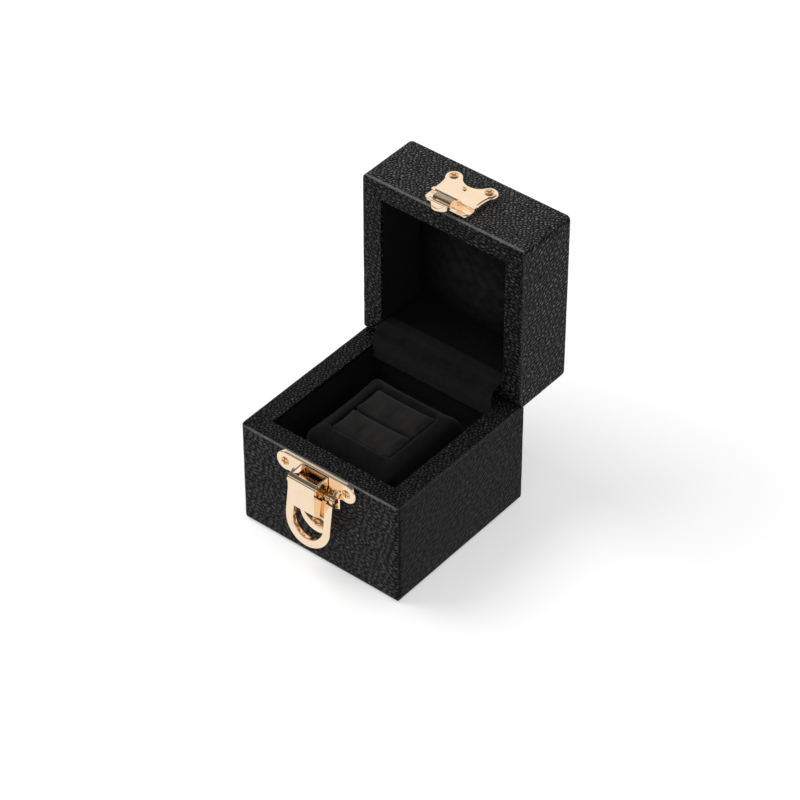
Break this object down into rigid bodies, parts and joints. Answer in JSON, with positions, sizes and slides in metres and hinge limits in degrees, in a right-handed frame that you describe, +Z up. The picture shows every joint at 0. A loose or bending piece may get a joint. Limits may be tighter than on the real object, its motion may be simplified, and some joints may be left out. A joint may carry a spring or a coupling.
{
  "type": "ring display box",
  "caption": "Cube-shaped leather-covered display box for a ring, shown open: hinged lid, suede linings, raised slit cushion, and a gold push latch with a D-shaped ring on the front.",
  "frame": {"origin": "middle of the base's underside, the face it stands on", "axes": "+X along the front to the right, the front face with the latch looks towards -Y, +Z up; the lid stands open"},
  "size_m": [0.08, 0.1168, 0.1353],
  "materials": {
    "wood": "raw fibreboard",
    "leather": "pebble-grained, low sheen",
    "backing": "flocked paper",
    "suede": "soft brushed suede",
    "pad_suede": "soft brushed suede",
    "card": "grey card",
    "gold": "polished light gold plate",
    "gold_screw": "polished gold plate",
    "hinge_brass": "satin",
    "steel": "gold-washed wire"
  },
  "bodies": {
    "base": {"base_core": "wood", "base_leather": "leather", "base_bottom_sheet": "backing", "base_wall_lining": "suede", "base_riser": "card", "base_floor_board": "suede", "cushion_block": "suede", "pad_board": "card", "ring_pad_front": "pad_suede", "ring_pad_back": "pad_suede", "hinge_base_leaves": "hinge_brass", "hinge_pins": "steel", "hinge_strip": "suede", "latch_plate": "gold", "latch_plate_screws": "gold_screw", "latch_pin": "gold_screw", "latch_spring": "steel"},
    "lid": {"lid_core": "wood", "lid_leather": "leather", "lid_wall_lining": "suede", "lid_board": "card", "lid_pad": "suede", "hinge_lid_leaves": "hinge_brass", "hasp": "gold", "hasp_screws": "gold_screw", "hasp_rivet": "gold_screw"},
    "lever": {"latch_lever": "gold"}
  },
  "joints": [
    {"name": "lid_hinge", "type": "hinge", "parent": "base", "child": "lid", "pos_m": [0, 0.03715, 0.05075], "axis": [1, 0, 0], "range_deg": [0, 90], "deforming": ["hinge_strip"]},
    {"name": "latch_lever", "type": "hinge", "parent": "base", "child": "lever", "pos_m": [0, -0.0434, 0.0405], "axis": [1, 0, 0], "range_deg": [0, 7], "stiffness_Nm_per_rad": 0.15, "springref_deg": -11.46, "deforming": ["latch_spring"]}
  ]
}
